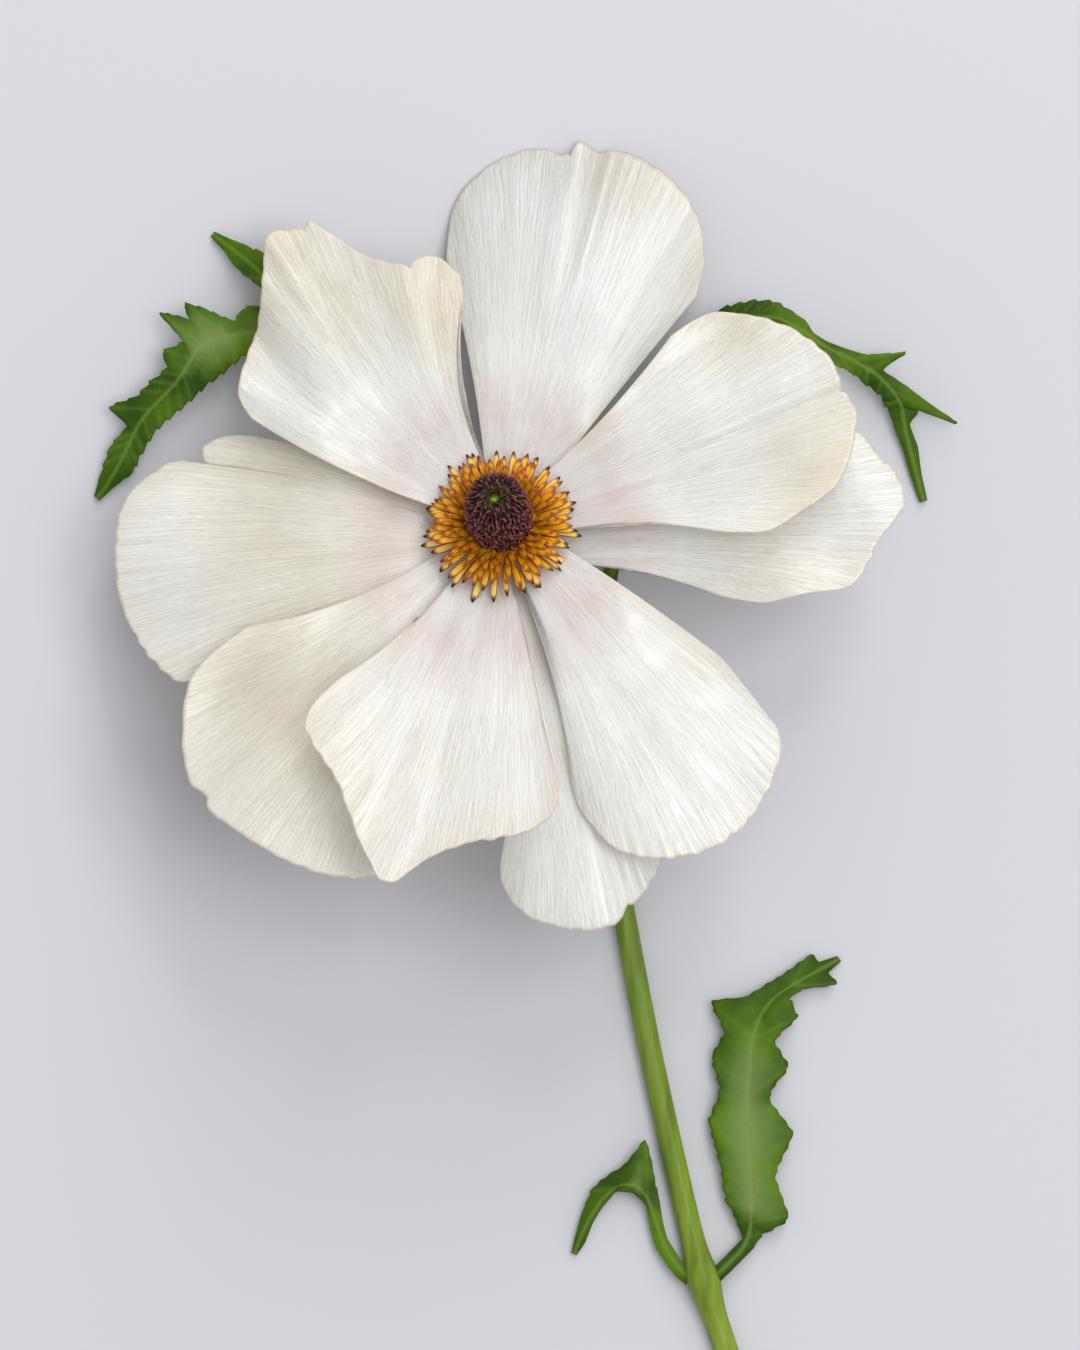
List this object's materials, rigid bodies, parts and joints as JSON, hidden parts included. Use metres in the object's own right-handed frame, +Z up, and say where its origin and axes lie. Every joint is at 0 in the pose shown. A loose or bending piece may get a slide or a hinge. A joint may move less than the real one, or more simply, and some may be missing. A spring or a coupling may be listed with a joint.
{
  "type": "ranunculus",
  "caption": "A picked single butterfly ranunculus flower lying on its stem: broad open white petals round a ring of amber stamens and a dark carpel head, with toothed green leaves",
  "frame": {"origin": "centre of the flat underside of the stem where it rests on the surface, a short way below its upper leaf joint", "axes": "+Z up out of the surface the flower lies on, +Y along the stem's lie from the cut end towards the bloom, +X to the right of the bloom as seen from above"},
  "size_m": [0.0794, 0.1229, 0.0315],
  "materials": {
    "petal": "thin satin white petal tissue with fine veins and a faint pink base",
    "calyx": "soft green plant tissue",
    "stamen": "satin amber anthers with dark edges",
    "carpel": "matte dark burgundy carpels with a green crown",
    "stem": "firm green stem with a slight sheen",
    "leaf": "matte dark green leaf"
  },
  "bodies": {
    "root": {"petal_top": "petal", "petal_upper_left": "petal", "petal_left": "petal", "petal_lower_left": "petal", "petal_lower": "petal", "petal_bottom": "petal", "petal_lower_right": "petal", "petal_right": "petal", "petal_upper_right": "petal", "stamens": "stamen", "carpel_head": "carpel", "calyx": "calyx", "stem": "stem", "leaf_left": "leaf", "leaf_right": "leaf", "leaf_lower_right": "leaf", "leaf_lower_left": "leaf"}
  },
  "joints": []
}
